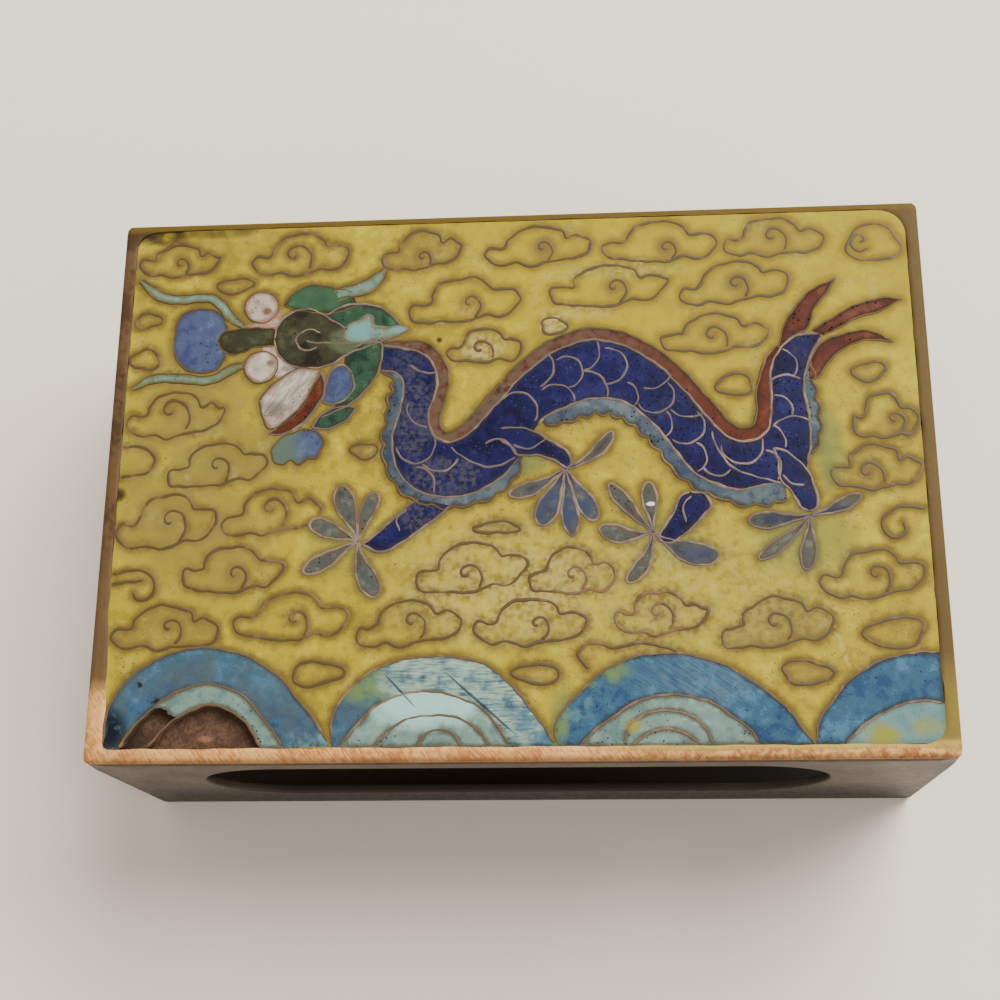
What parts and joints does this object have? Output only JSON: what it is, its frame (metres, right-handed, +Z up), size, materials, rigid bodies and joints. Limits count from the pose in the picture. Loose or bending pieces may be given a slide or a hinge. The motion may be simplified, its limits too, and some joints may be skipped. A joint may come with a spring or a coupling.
{
  "type": "cloisonne enamel matchbox cover",
  "caption": "Open-ended copper-alloy sleeve that covers a matchbox, with a striking window in each long side and a flush cloisonne enamel panel of a dragon over waves on its top.",
  "frame": {"origin": "middle of the underside, where the sleeve stands", "axes": "+X along the sleeve between its open ends, the dragon's tail on the +X side; +Y towards the back, -Y the side nearest the waves; +Z up, out of the enamelled face"},
  "size_m": [0.06, 0.0414, 0.021],
  "materials": {
    "copper": "worn copper-alloy sheet, tarnished brown with bright rubbed edges",
    "yellow_enamel": "polished opaque glass enamel, pitted and grimy along the wires",
    "navy_enamel": "polished opaque glass enamel with pinholes",
    "pale_blue_enamel": "polished opaque glass enamel, dull and grimy",
    "blue_enamel": "polished opaque glass enamel",
    "red_enamel": "polished opaque glass enamel",
    "green_enamel": "polished opaque glass enamel",
    "olive_enamel": "polished opaque glass enamel",
    "turquoise_enamel": "polished opaque glass enamel",
    "white_enamel": "polished opaque glass enamel, flushed pink",
    "wave_blue_enamel": "polished opaque glass enamel, scratched"
  },
  "bodies": {
    "root": {"sleeve": "copper", "sky": "yellow_enamel", "body": "navy_enamel", "leg_1": "navy_enamel", "leg_2": "navy_enamel", "leg_3": "navy_enamel", "leg_4": "navy_enamel", "belly_chest": "pale_blue_enamel", "belly_arch": "pale_blue_enamel", "belly_tail": "pale_blue_enamel", "claws_1": "pale_blue_enamel", "claws_2": "pale_blue_enamel", "claws_3": "pale_blue_enamel", "claws_4": "pale_blue_enamel", "pearl": "blue_enamel", "tongue": "blue_enamel", "beard": "blue_enamel", "crest": "red_enamel", "lip": "red_enamel", "tail_flame_1": "red_enamel", "tail_flame_2": "red_enamel", "tail_flame_3": "red_enamel", "brow": "green_enamel", "temple": "green_enamel", "cheek": "green_enamel", "chin": "green_enamel", "snout": "olive_enamel", "skull": "olive_enamel", "horn": "turquoise_enamel", "ear": "turquoise_enamel", "whisker_upper": "turquoise_enamel", "whisker_lower": "turquoise_enamel", "wave_1_middle": "turquoise_enamel", "wave_2_core": "turquoise_enamel", "wave_2_inner": "turquoise_enamel", "wave_2_middle": "turquoise_enamel", "wave_3_core": "turquoise_enamel", "wave_3_inner": "turquoise_enamel", "wave_3_middle": "turquoise_enamel", "wave_4_inner": "turquoise_enamel", "eye_upper": "white_enamel", "eye_lower": "white_enamel", "mouth": "white_enamel", "muzzle_upper": "white_enamel", "muzzle_lower": "white_enamel", "wave_1_outer": "wave_blue_enamel", "wave_2_outer": "wave_blue_enamel", "wave_3_outer": "wave_blue_enamel", "wave_4_outer": "wave_blue_enamel"}
  },
  "joints": []
}
